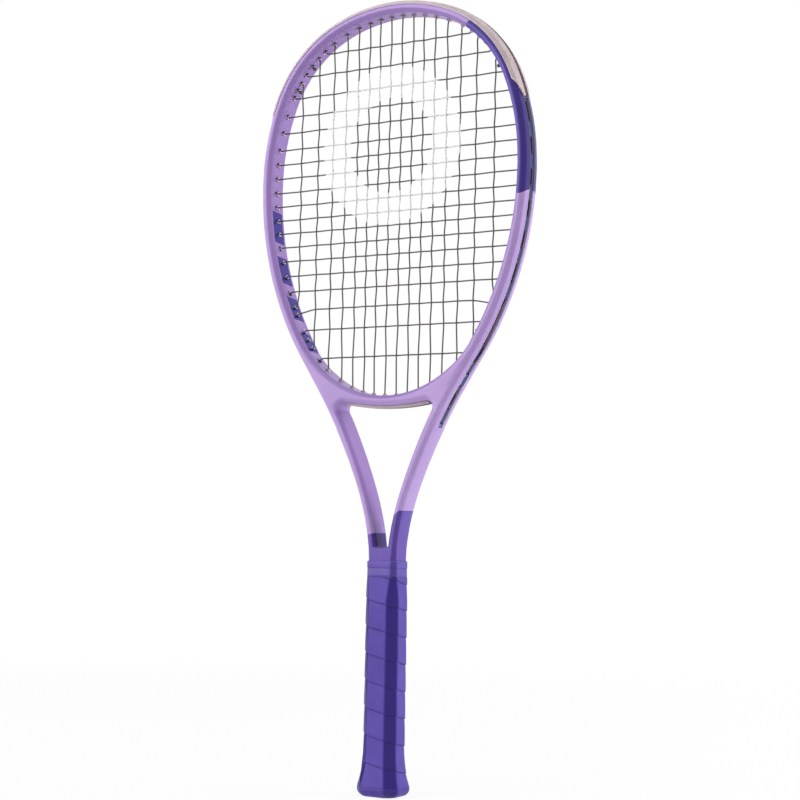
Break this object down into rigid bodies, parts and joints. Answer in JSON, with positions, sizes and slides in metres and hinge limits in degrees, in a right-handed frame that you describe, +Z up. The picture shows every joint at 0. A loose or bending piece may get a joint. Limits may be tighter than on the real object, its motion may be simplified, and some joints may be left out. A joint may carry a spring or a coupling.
{
  "type": "tennis racket",
  "caption": "Strung tennis racket with an oval hoop, an open throat, woven strings through grommets, and an eight-sided wrapped handle with a flared butt.",
  "frame": {"origin": "middle of the bottom of the butt, on the long axis of the racket", "axes": "+Z up the handle to the crown of the hoop, +X across the string bed to the right seen from the front, +Y from the front to the back, through the thickness"},
  "size_m": [0.2696, 0.0374, 0.6858],
  "materials": {
    "frame": "gloss",
    "bridge": "gloss",
    "guard": "satin",
    "grommets": "satin",
    "string": "satin",
    "collar": "matte",
    "tape": "satin",
    "grip": "matte",
    "foam": "matte",
    "cap": "satin",
    "wire": "satin"
  },
  "bodies": {
    "racket": {"frame_tube": "frame", "throat_bridge": "bridge", "bumper_guard": "guard", "left_grommet_strip": "grommets", "right_grommet_strip": "grommets", "throat_grommet_strip": "grommets", "left_arm_grommets": "grommets", "right_arm_grommets": "grommets", "main_string": "string", "cross_string": "string", "rubber_collar": "collar", "finishing_tape": "tape", "grip_wrap": "grip", "front_pallet": "foam", "rear_pallet": "foam", "left_leg_plug": "foam", "right_leg_plug": "foam", "butt_cap": "cap", "butt_cap_staples": "wire"},
    "door": {"butt_cap_door": "cap"}
  },
  "joints": [
    {"name": "door_lift_off", "type": "slide", "parent": "racket", "child": "door", "axis": [0, 0, -1], "range_m": [0, 0.01]}
  ]
}
